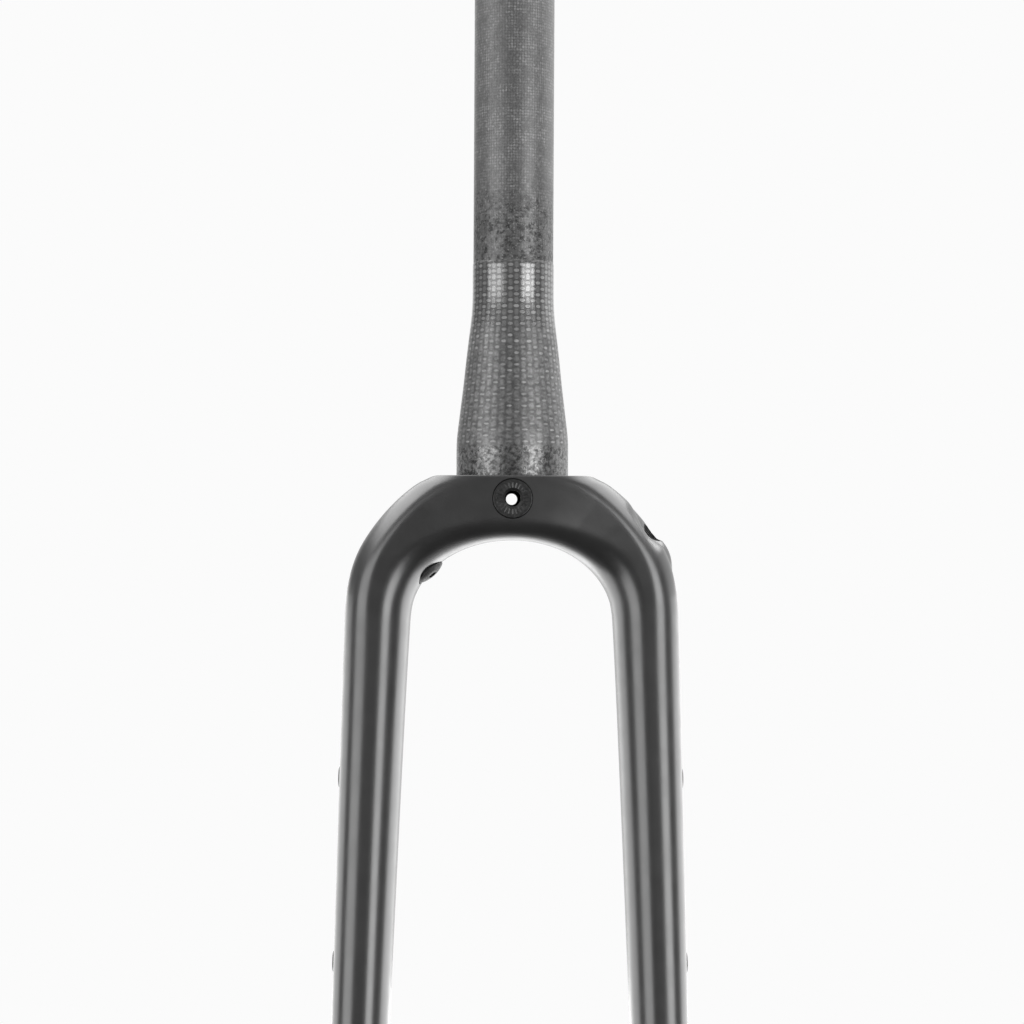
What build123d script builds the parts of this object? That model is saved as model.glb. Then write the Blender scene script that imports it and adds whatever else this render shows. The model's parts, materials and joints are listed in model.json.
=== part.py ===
from build123d import *
import os
from math import cos, exp, pi, radians, sin, sqrt

# A rigid bicycle fork in millimetres. The origin is on the steerer's axis at the crown race seat,
# +Z runs up the steerer, the fork faces -Y and +X is the rider's left.

# steerer tube
steerer_top = 300.0           # uncut top end above the crown race seat
steerer_diameter = 28.6       # upper clamp diameter
steerer_wall = 3.0
seat_diameter = 40.0          # crown race seat
taper_start = 12.3            # lower end of the taper, above the seat
taper_end = 59.0              # upper end of the taper
taper_blend = 100.0           # blend radius at the top of the taper
seat_blend = 60.0             # blend radius at the foot of the taper
spigot_step = 2.0             # how far the bonded spigot steps in from the seat, on the radius
spigot_depth = 17.0           # bonded length inside the crown
bond_gap = 0.1                # glue line around every bonded piece, on the radius
draft = 0.012                 # how much a moulded pocket widens on the radius, per millimetre

# crown
crown_radius = 59.1           # outer shoulders, seen from the front
shoulder_bulge = 0.6          # how far the shoulders stand out of that circle
shoulder_angle = 67.0         # where they do, from straight up
shoulder_spread = 11.0
arch_drop = 52.3              # middle of the wheel arch below the seat
arch_half_width = 36.2        # wheel arch between the leg tops
arch_rise = 29.0              # wheel arch above its own middle
crown_depth = 56.0            # front to back at the steerer
crown_outer_corner = 6.5      # rounding of the crown's face towards the shoulders
crown_inner_corner = 8.5      # rounding of the crown's face towards the wheel arch

# legs and dropouts
axle_drop = 395.0             # axle below the crown race seat
axle_rake = 50.0              # axle ahead of the steerer's axis
rake_drop = 15.0              # where the legs begin to lean forward
rake_power = 1.15
hub_width = 100.0             # between the hub seats
hub_seat_diameter = 20.4
hub_seat_depth = 0.8
dropout_width = 14.3          # across one dropout, from leg face to leg face
leg_depth = 39.0              # front to back at the top of a leg
leg_nose = 0.11               # how far a leg's leading edge sits outside its middle, of the half width
leg_flat = 0.06               # share of a leg's width that is flat at its leading edge
outer_square = 0.6            # how full the rounded corners are, 0.55 is an ellipse
inner_square = 0.56
tip_radius = 13.5             # dropout's round end about the axle
tip_share = 0.97              # how far down the round end the dropout's flat foot lies
wall = 3.0                    # skin of the hollow legs
hollow_angle = 46.0           # where the legs' hollow begins on the shoulders, from straight up
left_hollow_end = 280.0       # the left leg is solid behind the brake pad
right_hollow_end = 350.0

# threaded inserts, M5 everywhere
tap_radius = 2.1
insert_length = 8.0
insert_shank = 3.5
insert_flange = 4.6
insert_rim = 0.4
insert_dome = 1.1
insert_sunk = 0.4
cage_first = 107.5            # upper cage boss below the seat
cage_pitch = 64.0             # between cage bosses, along the leg
mudguard_above_axle = 31.0

# ferrule and rear insert of the crown's through hole
crown_hole_drop = 8.6
ferrule_radius = 6.8
ferrule_head = 3.0
ferrule_length = 9.0
ferrule_shank = 4.4
ferrule_bore = 2.75
ferrule_mouth = 3.7
ferrule_gap = 0.2
ferrule_sunk = 0.25
tooth_count = 24
tooth_reach = 5.6
tooth_width = 0.62
tooth_depth = 0.34
rear_flange = 5.5
rear_flange_thick = 1.2
rear_shank = 4.0

# hose inlet on the left shoulder
inlet_angle = 57.6            # from straight up, about the arch's middle
inlet_lift = 11.0             # how far the port is turned up from the shoulder's face
inlet_fore_tilt = 10.0
inlet_fore = 3.0
inlet_sunk = 0.2
inlet_radius = 4.55
inlet_collar = 6.4
inlet_depth = 9.0
inlet_step = 6.6
hood_radius = 8.2
hood_length = 26.0
hood_drop = 8.6
hood_proud = 1.7
hose_radius = 2.6

# hose exit above the brake pad
exit_above_pad = 26.0
exit_flange = 5.0
exit_shank = 3.9

# brake pad behind the left leg
pad_pitch = 70.0              # between the two bolts
pad_lower = 25.0              # lower bolt above the axle, along the leg
pad_length = 90.0
pad_width = 12.4
pad_edge = 1.2
pad_proud = 1.6
pad_root = 11.0
caliper_flange = 5.0
caliper_flange_thick = 1.0
caliper_shank = 4.0
caliper_length = 9.0

# wire plugs
arch_plug_angle = 58.8
arch_plug_turn = 17.0         # how far the plug is turned down from the line to the arch's middle
arch_plug_fore = 8.8
arch_plug_tilt = 14.0
arch_plug_radius = 5.5
arch_plug_rim = 1.3
arch_plug_dome = 2.3
arch_plug_hole = 1.45
arch_plug_stem = 3.6
lower_plug_above_axle = 52.0
lower_plug_radius = 4.0
lower_plug_dome = 0.9
lower_plug_stem = 2.8
plug_sunk = 0.5
plug_length = 5.0

# axle fittings
axle_radius = 6.05            # plain bore for a 12 mm axle
axle_thread = 5.25            # tapped M12 x 1.5
bush_radius = 8.5
bush_flange = 10.0
bush_flange_thick = 1.3

reach = 8.0                   # how far a pocket's cutter stands clear of the surface

dropout_inner = hub_width / 2 - hub_seat_depth
dropout_outer = dropout_inner + dropout_width
seat_radius = seat_diameter / 2
spigot_radius = seat_radius - spigot_step
forward_dir = Vector(0, -1, 0)


def between(first, last, share):
    return first + (last - first) * share


def leg_share(drop):
    return max(drop - arch_drop, 0.0) / (axle_drop - arch_drop)


def leg_inner(drop):
    return between(arch_half_width, dropout_inner, leg_share(drop) ** 0.9)


def leg_outer(drop):
    return between(crown_radius, dropout_outer, sin(pi / 2 * min(leg_share(drop), 1.0)))


def leg_fore(drop):
    return axle_rake * (max(drop - rake_drop, 0.0) / (axle_drop - rake_drop)) ** rake_power


def leg_half_depth(drop):
    return between(leg_depth / 2, tip_radius, min(leg_share(drop), 1.0) ** 0.9)


# The arch is half an ellipse and the shoulders are a circle about the same middle.
def arch_radius(angle):
    across = arch_rise * sin(radians(angle))
    upward = arch_half_width * cos(radians(angle))
    return arch_rise * arch_half_width / sqrt(across**2 + upward**2)


def shoulder_radius(angle):
    return crown_radius + shoulder_bulge * exp(-(((angle - shoulder_angle) / shoulder_spread) ** 2))


# A section is its middle, its direction from the wheel's side outward, its two reaches along that direction,
# its half depth and how far its outer and inner corners are rounded.
def crown_section(side, angle, skin=0.0):
    share = cos(radians(angle)) ** 1.5
    face_share = cos(radians(angle)) ** 0.8
    outward = Vector(side * sin(radians(angle)), 0, cos(radians(angle)))
    near = arch_radius(angle) + skin
    far = shoulder_radius(angle) - skin
    middle_drop = arch_drop - (near + far) / 2 * cos(radians(angle))
    half_depth = between(leg_depth / 2, crown_depth / 2, share) - skin
    middle = Vector(0, -leg_fore(middle_drop), -arch_drop)
    outer, inner = leg_corners(near, far)
    outer = between(outer, crown_outer_corner - skin, face_share)
    inner = between(inner, crown_inner_corner - skin, face_share)
    return middle, outward, near, far, half_depth, outer, inner


def leg_corners(near, far):
    outer = (far - near) * (1 - leg_nose) / 2 * (1 - leg_flat)
    inner = (far - near) * (1 + leg_nose) / 2 * (1 - leg_flat)
    return outer, inner


def leg_section(side, drop, skin=0.0):
    near = leg_inner(drop) + skin
    far = leg_outer(drop) - skin
    half_depth = leg_half_depth(drop) - skin
    middle = Vector(0, -leg_fore(drop), -drop)
    return middle, Vector(side, 0, 0), near, far, half_depth, *leg_corners(near, far)


# Past the axle the dropout closes in a half circle seen from the side.
def tip_section(side, drop):
    below = drop - axle_drop
    middle, outward, near, far, half_depth, outer, inner = leg_section(side, axle_drop)
    pinch = (far - near) * 0.18 * (below / tip_radius) ** 3
    half_depth = sqrt(tip_radius**2 - below**2)
    near = near + pinch
    far = far - pinch
    middle = middle - Vector(0, 0, below)
    return middle, outward, near, far, half_depth, *leg_corners(near, far)


# How deep a corner's rounding runs along the flank: as far as across, but never the whole half depth.
def corner_depth(corner, half_depth):
    limit = 0.85 * half_depth
    return corner * limit / (corner**4 + limit**4) ** 0.25


# The leading point of a section, in front or behind.
def crest(section, ahead):
    middle, outward, near, far, half_depth, outer, inner = section
    lead = (near + inner + far - outer) / 2
    return middle + outward * lead + forward_dir * (ahead * half_depth)


# Straight flanks and a short flat front and back, joined by rounded corners.
def outline(section):
    middle, outward, near, far, half_depth, outer, inner = section
    outer_start = half_depth - corner_depth(outer, half_depth)
    inner_start = half_depth - corner_depth(inner, half_depth)

    def spot(out, ahead):
        return middle + outward * out + forward_dir * ahead

    def rounded(start, corner, end, square):
        return Edge.make_bezier(start, start + (corner - start) * square, end + (corner - end) * square, end)

    sides = []
    for ahead in (1, -1):
        flank_out = spot(far, ahead * outer_start)
        face_out = spot(far - outer, ahead * half_depth)
        face_in = spot(near + inner, ahead * half_depth)
        flank_in = spot(near, ahead * inner_start)
        corner_out = spot(far, ahead * half_depth)
        corner_in = spot(near, ahead * half_depth)
        sides.append((flank_out, corner_out, face_out, face_in, corner_in, flank_in))
    front, back = sides
    return Wire(
        [
            Edge.make_line(front[2], front[3]),
            rounded(front[3], front[4], front[5], inner_square),
            Edge.make_line(front[5], back[5]),
            rounded(back[5], back[4], back[3], inner_square),
            Edge.make_line(back[3], back[2]),
            rounded(back[2], back[1], back[0], outer_square),
            Edge.make_line(back[0], front[0]),
            rounded(front[0], front[1], front[2], outer_square),
        ]
    )


# Distance of the arch's face from the arch's middle, a given way ahead of the section's middle.
def arch_face(section, ahead):
    middle, outward, near, far, half_depth, outer, inner = section
    depth = corner_depth(inner, half_depth)
    low = 0.0
    high = 1.0
    for _ in range(40):
        t = (low + high) / 2
        reached = 3 * (1 - t) ** 2 * t * inner_square + 3 * (1 - t) * t**2 + t**3
        if half_depth - depth + depth * reached < ahead:
            low = t
        else:
            high = t
    rise = 3 * (1 - t) * t**2 * (1 - inner_square) + t**3
    return near + inner * rise


def cylinder(place, radius, bottom, top):
    return place.location * Pos(0, 0, bottom) * extrude(Circle(radius), amount=top - bottom)


# A turned piece from its half section, written as radius and height along the place's own axis.
def turned(place, *points):
    half = make_face(Plane.XZ * Polyline(*points, close=True))
    return place.location * revolve(half, Axis.Z)


# The half section of a flanged piece that is domed from its rim to the mouth of its hole.
def dome_line(flange, rim, mouth, dome):
    return ThreePointArc((flange, rim), ((flange + mouth) / 2, between(rim, dome, 0.74)), (mouth, dome))


# A domed insert or sleeve with its hole right through.
def domed_sleeve(place, hole, length, shank, flange, rim, dome):
    mouth = hole + 0.4
    lines = Polyline(
        (mouth, dome),
        (hole, dome - 0.4),
        (hole, -length),
        (shank, -length),
        (shank, 0),
        (flange, 0),
        (flange, rim),
    )
    half = make_face(Plane.XZ * (lines + dome_line(flange, rim, mouth, dome)))
    return place.location * revolve(half, Axis.Z)


# A domed plug with a blind hole in the middle of its face.
def domed_plug(place, hole, hole_depth, length, stem, flange, rim, dome):
    mouth = hole + 0.15
    lines = Polyline(
        (mouth, dome),
        (hole, dome - 0.15),
        (hole, dome - hole_depth),
        (0, dome - hole_depth),
        (0, -length),
        (stem, -length),
        (stem, 0),
        (flange, 0),
        (flange, rim),
    )
    half = make_face(Plane.XZ * (lines + dome_line(flange, rim, mouth, dome)))
    return place.location * revolve(half, Axis.Z)


# The moulded room for a flanged piece, with draft: its mouth from the flange's floor outward, its hole inward.
def pocket(place, mouth, floor, hole, depth):
    rise = floor + depth
    return turned(
        place,
        (0, -depth),
        (hole, -depth),
        (hole + draft * rise, floor),
        (mouth, floor),
        (mouth + draft * reach, floor + reach),
        (0, floor + reach),
    )


# moulded body: one sweep of sections from the left tip, over the crown, to the right tip
leg_steps = 26
arc_steps = 4
leg_length = axle_drop + tip_radius * tip_share - arch_drop
leg_drops = [arch_drop + leg_length * sin(pi / 2 * step / leg_steps) for step in range(leg_steps, 0, -1)]
arc_angles = [90.0 * step / arc_steps for step in range(arc_steps, 0, -1)]


def half_of_sections(side):
    legs = [tip_section(side, drop) if drop > axle_drop else leg_section(side, drop) for drop in leg_drops]
    arcs = [crown_section(side, angle) for angle in arc_angles]
    return legs + arcs


rings = half_of_sections(1) + [crown_section(1, 0.0)] + half_of_sections(-1)[::-1]
sweep = Solid.make_loft([outline(section) for section in rings])
body = sweep - Pos(0, 0, crown_radius / 2) * Box(4 * crown_radius, 2 * crown_depth, crown_radius)

# axle holes: a flat hub seat inside, the fitting's bore through and its flange outside
axle_places = {}
bush_length = dropout_outer - hub_width / 2
for side, hand in ((1, "left"), (-1, "right")):
    place = Plane(origin=(side * hub_width / 2, -axle_rake, -axle_drop), z_dir=(side, 0, 0))
    axle_places[hand] = place
    body -= turned(
        place,
        (0, -reach),
        (hub_seat_diameter / 2, -reach),
        (hub_seat_diameter / 2, 0),
        (bush_radius + bond_gap, 0),
        (bush_radius + bond_gap, bush_length - bush_flange_thick),
        (bush_flange + bond_gap, bush_length - bush_flange_thick),
        (bush_flange + bond_gap, bush_length + reach),
        (0, bush_length + reach),
    )

# hood below the hose inlet: a spindle laid along the shoulder, mostly sunk in it
inlet_section = crown_section(1, inlet_angle)
inlet_turn = inlet_angle - inlet_lift
tilt_in = sin(radians(inlet_fore_tilt))
tilt_out = cos(radians(inlet_fore_tilt))
inlet_axis = Vector(tilt_out * sin(radians(inlet_turn)), -tilt_in, tilt_out * cos(radians(inlet_turn)))
inlet_face = inlet_section[0] + inlet_section[1] * (inlet_section[3] - inlet_sunk) + forward_dir * inlet_fore
inlet_place = Plane(origin=inlet_face, z_dir=inlet_axis)
hood_angle = inlet_angle + hood_drop * 180 / pi / crown_radius
hood_out = Vector(sin(radians(hood_angle)), 0, cos(radians(hood_angle)))
hood_along = Vector(cos(radians(hood_angle + 4)), 0, -sin(radians(hood_angle + 4)))
hood_sunk = shoulder_radius(hood_angle) + hood_proud - hood_radius
hood_middle = inlet_section[0] + hood_out * hood_sunk + forward_dir * inlet_fore
hood_place = Plane(origin=hood_middle, z_dir=hood_along)
hood_arc = ThreePointArc((0, -hood_length / 2), (hood_radius, 0), (0, hood_length / 2))
hood_half = make_face(Plane.XZ * (hood_arc + Line((0, hood_length / 2), (0, -hood_length / 2))))
body += hood_place.location * revolve(hood_half, Axis.Z)

# pad for the brake caliper, flat and square to the left leg's back
pad_top = axle_drop - pad_lower - pad_pitch
pad_bottom = axle_drop - pad_lower


def leg_back(side, drop):
    return crest(leg_section(side, drop), -1)


pad_upper_point = leg_back(1, pad_top)
pad_lower_point = leg_back(1, pad_bottom)
pad_along = (pad_upper_point - pad_lower_point).normalized()
pad_across = Vector(1, 0, 0)
pad_normal = pad_along.cross(pad_across).normalized()
pad_across = pad_normal.cross(pad_along).normalized()
pad_place = Plane(
    origin=(pad_upper_point + pad_lower_point) * 0.5 + pad_normal * pad_proud,
    x_dir=pad_along,
    z_dir=pad_normal,
)
pad_shape = extrude(SlotOverall(pad_length, pad_width), amount=-pad_root)
pad_shape = fillet(pad_shape.faces().sort_by(Axis.Z)[-1].edges(), pad_edge)
body += pad_place.location * pad_shape

# hollow legs, with a collar left around the hose inlet
hollow_angles = [hollow_angle, (hollow_angle + 90) / 2, 90.0]
hollow_drops = [drop for drop in leg_drops[::-1] if drop < axle_drop - tip_radius]
for side, end in ((1, left_hollow_end), (-1, right_hollow_end)):
    inside = [crown_section(side, angle, wall) for angle in hollow_angles]
    inside += [leg_section(side, drop, wall) for drop in hollow_drops]
    hollow = Solid.make_loft([outline(section) for section in inside])
    body -= hollow - Pos(0, 0, -end - axle_drop / 2) * Box(2 * axle_drop, 2 * axle_drop, axle_drop)
body += cylinder(inlet_place, inlet_collar, -inlet_depth, -1.6)

# socket for the steerer and the through hole of the crown
body -= cylinder(Plane.XY, spigot_radius + bond_gap, -spigot_depth, reach)
front_place = Plane(origin=(0, -crown_depth / 2 + ferrule_sunk, -crown_hole_drop), z_dir=(0, -1, 0))
rear_place = Plane(origin=(0, crown_depth / 2 - ferrule_sunk, -crown_hole_drop), z_dir=(0, 1, 0))
body -= pocket(front_place, ferrule_radius + ferrule_gap, -ferrule_head, ferrule_shank + bond_gap, crown_depth / 2)
body -= pocket(rear_place, rear_flange + bond_gap, -rear_flange_thick, rear_shank + bond_gap, crown_depth / 2)

# hose inlet, stepped so that the grommet seats on a shoulder
body -= cylinder(inlet_place, inlet_radius, -inlet_step, reach)
body -= cylinder(inlet_place, hose_radius + 0.8, -inlet_depth - reach / 2, -inlet_step)

# wire plug on the arch
plug_section = crown_section(-1, arch_plug_angle)
plug_middle, plug_out = plug_section[0], plug_section[1]
plug_floor = plug_middle + plug_out * arch_face(plug_section, arch_plug_fore) + forward_dir * arch_plug_fore
plug_tilt_in = sin(radians(arch_plug_tilt))
plug_tilt_out = cos(radians(arch_plug_tilt))
plug_turn = radians(arch_plug_angle - arch_plug_turn)
plug_axis = Vector(sin(plug_turn), 0, -cos(plug_turn)) * plug_tilt_out + forward_dir * plug_tilt_in
plug_place = Plane(origin=plug_floor - plug_axis * plug_sunk, z_dir=plug_axis)
body -= pocket(plug_place, arch_plug_radius + bond_gap, 0, arch_plug_stem + bond_gap, plug_length + bond_gap)

# low wire plug and hose exit, square to the back of each leg
exit_drop = pad_top - exit_above_pad
lower_plug_drop = axle_drop - lower_plug_above_axle
back_axis = Vector(0, pad_normal.Y, pad_normal.Z)
exit_place = Plane(origin=leg_back(1, exit_drop) - back_axis * plug_sunk, z_dir=back_axis)
lower_place = Plane(origin=leg_back(-1, lower_plug_drop) - back_axis * plug_sunk, z_dir=back_axis)
body -= pocket(exit_place, exit_flange + bond_gap, 0, exit_shank + bond_gap, plug_length + reach / 2)
body -= pocket(lower_place, lower_plug_radius + bond_gap, 0, lower_plug_stem + bond_gap, plug_length + bond_gap)

# caliper inserts, flush in the pad
caliper_places = {}
for name, shift in (("upper", pad_pitch / 2), ("lower", -pad_pitch / 2)):
    spot = pad_place.origin + pad_along * shift
    caliper_places[name] = Plane(origin=spot, z_dir=pad_normal)
    body -= pocket(
        caliper_places[name],
        caliper_flange + bond_gap,
        -caliper_flange_thick,
        caliper_shank + bond_gap,
        caliper_length + bond_gap,
    )

# inserts in the outer faces: three cage bosses and a mudguard boss on each leg
outer_places = {}
cage_lean = (leg_fore(cage_first + 2 * cage_pitch) - leg_fore(cage_first)) / (2 * cage_pitch)
cage_step = cage_pitch / sqrt(1 + cage_lean**2)
outer_drops = {
    "cage_insert_upper": cage_first,
    "cage_insert_middle": cage_first + cage_step,
    "cage_insert_lower": cage_first + 2 * cage_step,
    "mudguard_insert": axle_drop - mudguard_above_axle,
}
for side, hand in ((1, "left"), (-1, "right")):
    for name, drop in outer_drops.items():
        face = Vector(side * (leg_outer(drop) - insert_sunk), -leg_fore(drop), -drop)
        place = Plane(origin=face, z_dir=(side, 0, 0))
        outer_places[f"{hand}_{name}"] = place
        body -= pocket(place, insert_flange + bond_gap, 0, insert_shank + bond_gap, insert_length + bond_gap)

# steerer tube: tapered outside, an even wall inside and a spigot below the seat
steerer_radius = steerer_diameter / 2
outside = FilletPolyline(
    (steerer_radius, steerer_top),
    (steerer_radius, taper_end),
    (seat_radius, taper_start),
    (seat_radius, 0),
    radius=(taper_blend, seat_blend),
)
inside = FilletPolyline(
    (spigot_radius - steerer_wall, 0),
    (spigot_radius - steerer_wall, taper_start),
    (steerer_radius - steerer_wall, taper_end),
    (steerer_radius - steerer_wall, steerer_top),
    radius=(seat_blend, taper_blend),
)
foot = Polyline(
    (seat_radius, 0),
    (spigot_radius, 0),
    (spigot_radius, -spigot_depth),
    (spigot_radius - steerer_wall, -spigot_depth),
    (spigot_radius - steerer_wall, 0),
)
cap = Line((steerer_radius - steerer_wall, steerer_top), (steerer_radius, steerer_top))
steerer = revolve(make_face(Plane.XZ * (outside + foot + inside + cap)), Axis.Z)
through_place = Plane(origin=(0, 0, -crown_hole_drop), z_dir=(0, -1, 0))
steerer -= cylinder(through_place, ferrule_shank, -crown_depth / 2, crown_depth / 2)

# crown ferrule with radial teeth around the mouth of its bore
ferrule = turned(
    front_place,
    (ferrule_bore, -ferrule_length),
    (ferrule_shank, -ferrule_length),
    (ferrule_shank, -ferrule_head),
    (ferrule_radius, -ferrule_head),
    (ferrule_radius, -0.4),
    (ferrule_radius - 0.4, 0),
    (ferrule_mouth, 0),
    (ferrule_bore, ferrule_bore - ferrule_mouth),
)
tooth = make_face(Polyline((-tooth_width / 2, 0.05), (tooth_width / 2, 0.05), (0, -tooth_depth), close=True))
groove = extrude(Plane.YZ.offset(ferrule_bore) * tooth, amount=tooth_reach - ferrule_bore)
for count in range(tooth_count):
    ferrule -= front_place.location * Rot(0, 0, 360 * count / tooth_count) * groove

rear_insert = turned(
    rear_place,
    (tap_radius, -ferrule_length),
    (rear_shank, -ferrule_length),
    (rear_shank, -rear_flange_thick),
    (rear_flange, -rear_flange_thick),
    (rear_flange, -0.3),
    (rear_flange - 0.3, 0),
    (tap_radius + 0.5, 0),
    (tap_radius, -0.5),
)

inlet_grommet = turned(
    inlet_place,
    (hose_radius, -inlet_step),
    (inlet_radius, -inlet_step),
    (inlet_radius, -1.3),
    (inlet_radius - 0.4, -1.3),
    (inlet_radius - 0.55, -1.9),
    (inlet_radius - 0.85, -1.6),
    (inlet_radius - 1.0, -2.2),
    (inlet_radius - 1.3, -1.9),
    (inlet_radius - 1.45, -2.5),
    (inlet_radius - 1.7, -2.3),
    (hose_radius, -3.0),
)

exit_grommet = domed_sleeve(exit_place, hose_radius, plug_length, exit_shank, exit_flange, 0.8, 1.8)
arch_plug = domed_plug(
    plug_place,
    arch_plug_hole,
    1.6,
    plug_length,
    arch_plug_stem,
    arch_plug_radius,
    arch_plug_rim,
    arch_plug_dome,
)
lower_plug = domed_plug(
    lower_place,
    0.8,
    0.6,
    plug_length,
    lower_plug_stem,
    lower_plug_radius,
    plug_sunk,
    lower_plug_dome + plug_sunk,
)


def axle_fitting(place, bore):
    return turned(
        place,
        (bore + 0.5, 0),
        (bush_radius, 0),
        (bush_radius, bush_length - bush_flange_thick),
        (bush_flange, bush_length - bush_flange_thick),
        (bush_flange, bush_length),
        (bush_flange - 0.5, bush_length + 0.5),
        (bore + 0.8, bush_length + 0.5),
        (bore, bush_length - 0.3),
        (bore, 0.5),
    )


def caliper_insert(place):
    return turned(
        place,
        (tap_radius, -caliper_length),
        (caliper_shank, -caliper_length),
        (caliper_shank, -caliper_flange_thick),
        (caliper_flange, -caliper_flange_thick),
        (caliper_flange, 0),
        (tap_radius + 0.5, 0),
        (tap_radius, -0.5),
    )


pieces = {
    "crown_and_legs": body,
    "steerer_tube": steerer,
    "crown_ferrule": ferrule,
    "crown_rear_insert": rear_insert,
    "hose_inlet_grommet": inlet_grommet,
    "hose_exit_grommet": exit_grommet,
    "arch_port_plug": arch_plug,
    "lower_port_plug": lower_plug,
    "left_axle_bush": axle_fitting(axle_places["left"], axle_radius),
    "right_axle_insert": axle_fitting(axle_places["right"], axle_thread),
}
for name, place in caliper_places.items():
    pieces[f"caliper_insert_{name}"] = caliper_insert(place)
for name, place in outer_places.items():
    pieces[name] = domed_sleeve(
        place, tap_radius, insert_length, insert_shank, insert_flange, insert_rim, insert_dome
    )

os.makedirs("parts", exist_ok=True)
for name, piece in pieces.items():
    export_step(piece, f"parts/{name}.step")
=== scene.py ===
from cmath import phase
import json
from math import acos, asin, atan2, cos, degrees, exp, hypot, inf, pi, radians, sin, sqrt, tan
from types import SimpleNamespace

import bmesh
import bpy
import numpy as np
from mathutils import Matrix, Vector
from mathutils.bvhtree import BVHTree
from mathutils.interpolate import poly_3d_calc


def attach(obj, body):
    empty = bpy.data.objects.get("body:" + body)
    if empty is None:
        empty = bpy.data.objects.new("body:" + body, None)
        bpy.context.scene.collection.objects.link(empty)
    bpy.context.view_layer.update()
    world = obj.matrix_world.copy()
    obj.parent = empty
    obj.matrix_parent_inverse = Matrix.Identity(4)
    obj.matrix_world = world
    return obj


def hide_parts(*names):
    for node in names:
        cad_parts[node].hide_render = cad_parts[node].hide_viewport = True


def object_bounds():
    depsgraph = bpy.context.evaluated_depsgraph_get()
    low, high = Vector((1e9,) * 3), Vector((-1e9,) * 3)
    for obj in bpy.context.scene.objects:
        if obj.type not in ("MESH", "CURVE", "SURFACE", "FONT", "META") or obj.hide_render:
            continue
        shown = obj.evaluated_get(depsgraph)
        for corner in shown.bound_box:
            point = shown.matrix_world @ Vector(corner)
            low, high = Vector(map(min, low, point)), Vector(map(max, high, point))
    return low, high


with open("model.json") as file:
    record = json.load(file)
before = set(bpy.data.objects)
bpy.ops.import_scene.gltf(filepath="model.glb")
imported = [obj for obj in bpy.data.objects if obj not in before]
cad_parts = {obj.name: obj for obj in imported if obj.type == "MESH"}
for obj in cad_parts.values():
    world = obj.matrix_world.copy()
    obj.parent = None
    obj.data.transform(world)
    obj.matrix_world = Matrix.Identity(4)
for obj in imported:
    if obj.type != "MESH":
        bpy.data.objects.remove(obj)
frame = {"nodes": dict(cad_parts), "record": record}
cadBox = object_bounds()
print("frame loaded,", len(frame["nodes"]), "nodes")

scene = bpy.context.scene
scene.view_settings.view_transform = "Standard"
mm = 0.001
norm = np.linalg.norm


# a dictionary's values under a short name
def short(values):
    return SimpleNamespace(**values)


def linked(name, data):
    thing = bpy.data.objects.new(name, data)
    scene.collection.objects.link(thing)
    return thing


def placeAt(origin, axis, ahead="Z"):
    turn = Vector(axis).to_track_quat(ahead, "Y").to_matrix().to_4x4()
    return Matrix.Translation(Vector(origin)) @ turn


# camera: level, a little to the left of the fork's axis, rolled by a hair
photoView = dict(
    distance=780.0,      # from the steerer's axis
    height=-13.3,
    leftward=6.0,
    frameWidth=367.0,    # what the frame spans at the steerer
    roll=0.3,
    sensor=36.0,
    nearest=0.01, farthest=50.0,
)


def placeCamera(view):
    v = short(view)
    lens = bpy.data.cameras.new("photoCamera")
    lens.sensor_width = v.sensor
    lens.lens = v.sensor * v.distance / v.frameWidth
    lens.clip_start, lens.clip_end = v.nearest, v.farthest
    camera = linked("photoCamera", lens)
    spot = Vector((-v.leftward, -v.distance, v.height)) * mm
    aim = Vector((0, 0, v.height)) * mm
    camera.matrix_world = placeAt(spot, aim - spot, "-Z") @ Matrix.Rotation(radians(v.roll), 4, "Z")
    scene.camera = camera


placeCamera(photoView)
print("camera placed")


def mix(a, b, share):
    return a + (b - a) * share


def smoothStep(low, high, x):
    t = np.clip((x - low) / (high - low), 0.0, 1.0)
    return t * t * (3 - 2 * t)


def softMin(a, b, blend):
    h = np.maximum(blend - np.abs(a - b), 0.0) / blend
    return np.minimum(a, b) - h * h * blend / 4


def unit(v):
    return v / norm(v)


def newMesh(name, points, faces):
    mesh = bpy.data.meshes.new(name)
    mesh.from_pydata(points, [], faces)
    return mesh


def vertexValues(mesh, what):
    out = np.zeros(len(mesh.vertices) * 3, np.float32)
    mesh.vertices.foreach_get(what, out)
    return out.reshape(-1, 3).astype(float)


def turnFacesOut(mesh):
    bm = bmesh.new()
    bm.from_mesh(mesh)
    bmesh.ops.recalc_face_normals(bm, faces=bm.faces)
    bm.to_mesh(mesh)
    bm.free()


def shadeSmooth(mesh, sharpAngle=38.0):
    mesh.shade_smooth()
    mesh.set_sharp_from_angle(angle=radians(sharpAngle))


def meshPiece(name, points, faces, sharpAngle=38.0):
    mesh = newMesh(name, (np.asarray(points) * mm).tolist(), faces)
    mesh.validate()
    turnFacesOut(mesh)
    shadeSmooth(mesh, sharpAngle)
    return linked(name, mesh)


# faces between rings of n points each
def ringFaces(rows, n):
    return [(row * n + i, row * n + (i + 1) % n, (row + 1) * n + (i + 1) % n, (row + 1) * n + i)
            for row in range(rows - 1) for i in range(n)]


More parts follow.
